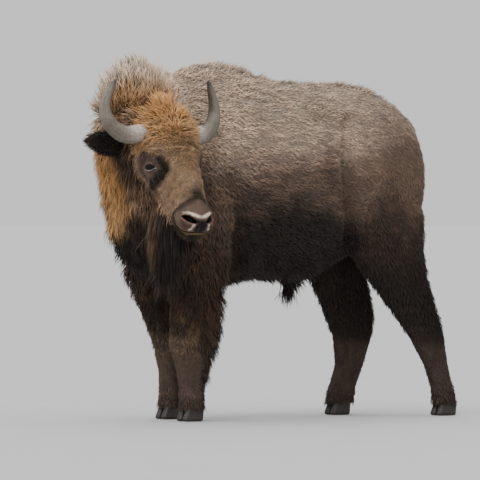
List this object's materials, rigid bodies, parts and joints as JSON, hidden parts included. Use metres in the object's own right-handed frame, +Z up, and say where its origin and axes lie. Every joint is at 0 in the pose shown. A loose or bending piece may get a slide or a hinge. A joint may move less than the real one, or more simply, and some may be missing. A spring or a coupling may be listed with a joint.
{
  "type": "wisent model",
  "caption": "Life-size standing model of a young wisent bull with shaggy hump, mane and beard, head turned to its left.",
  "frame": {"origin": "centre of the model's footprint, on the floor that the hooves stand on", "axes": "-X the way the body faces, -Y the animal's left, to which the head is turned, +Z up"},
  "size_m": [1.9482, 0.898, 1.612],
  "materials": {
    "body_coat": "dense brown winter coat with paler crinkled tips",
    "mane": "long golden-brown hair with grey-tan tips",
    "face": "ochre curls over the forehead, short brown hair down the face",
    "dark_hair": "near-black hair",
    "leg_coat": "short dark brown hair",
    "muzzle": "moist dark bare skin with short pale hair round it",
    "horn": "grey horn, smooth, darker towards the tip",
    "hoof": "dark worn horn",
    "eye": "wet, near-black brown"
  },
  "bodies": {
    "root": {"barrel": "body_coat", "beard": "dark_hair", "ear_left": "dark_hair", "ear_right": "dark_hair", "eye_left": "eye", "eye_right": "eye", "foreleg_left_arm": "leg_coat", "foreleg_left_cannon": "leg_coat", "foreleg_left_dewclaw_inner": "hoof", "foreleg_left_dewclaw_outer": "hoof", "foreleg_left_forearm": "leg_coat", "foreleg_left_hoof_inner": "hoof", "foreleg_left_hoof_outer": "hoof", "foreleg_left_pastern": "leg_coat", "foreleg_right_arm": "leg_coat", "foreleg_right_cannon": "leg_coat", "foreleg_right_dewclaw_inner": "hoof", "foreleg_right_dewclaw_outer": "hoof", "foreleg_right_forearm": "leg_coat", "foreleg_right_hoof_inner": "hoof", "foreleg_right_hoof_outer": "hoof", "foreleg_right_pastern": "leg_coat", "forequarters": "body_coat", "head": "face", "hindleg_left_cannon": "leg_coat", "hindleg_left_dewclaw_inner": "hoof", "hindleg_left_dewclaw_outer": "hoof", "hindleg_left_gaskin": "leg_coat", "hindleg_left_hoof_inner": "hoof", "hindleg_left_hoof_outer": "hoof", "hindleg_left_pastern": "leg_coat", "hindleg_left_thigh": "leg_coat", "hindleg_right_cannon": "leg_coat", "hindleg_right_dewclaw_inner": "hoof", "hindleg_right_dewclaw_outer": "hoof", "hindleg_right_gaskin": "leg_coat", "hindleg_right_hoof_inner": "hoof", "hindleg_right_hoof_outer": "hoof", "hindleg_right_pastern": "leg_coat", "hindleg_right_thigh": "leg_coat", "hindquarters": "body_coat", "horn_left": "horn", "horn_right": "horn", "muzzle": "muzzle", "neck": "mane", "sheath_tuft": "dark_hair", "tail": "body_coat", "tail_tuft": "dark_hair"}
  },
  "joints": []
}
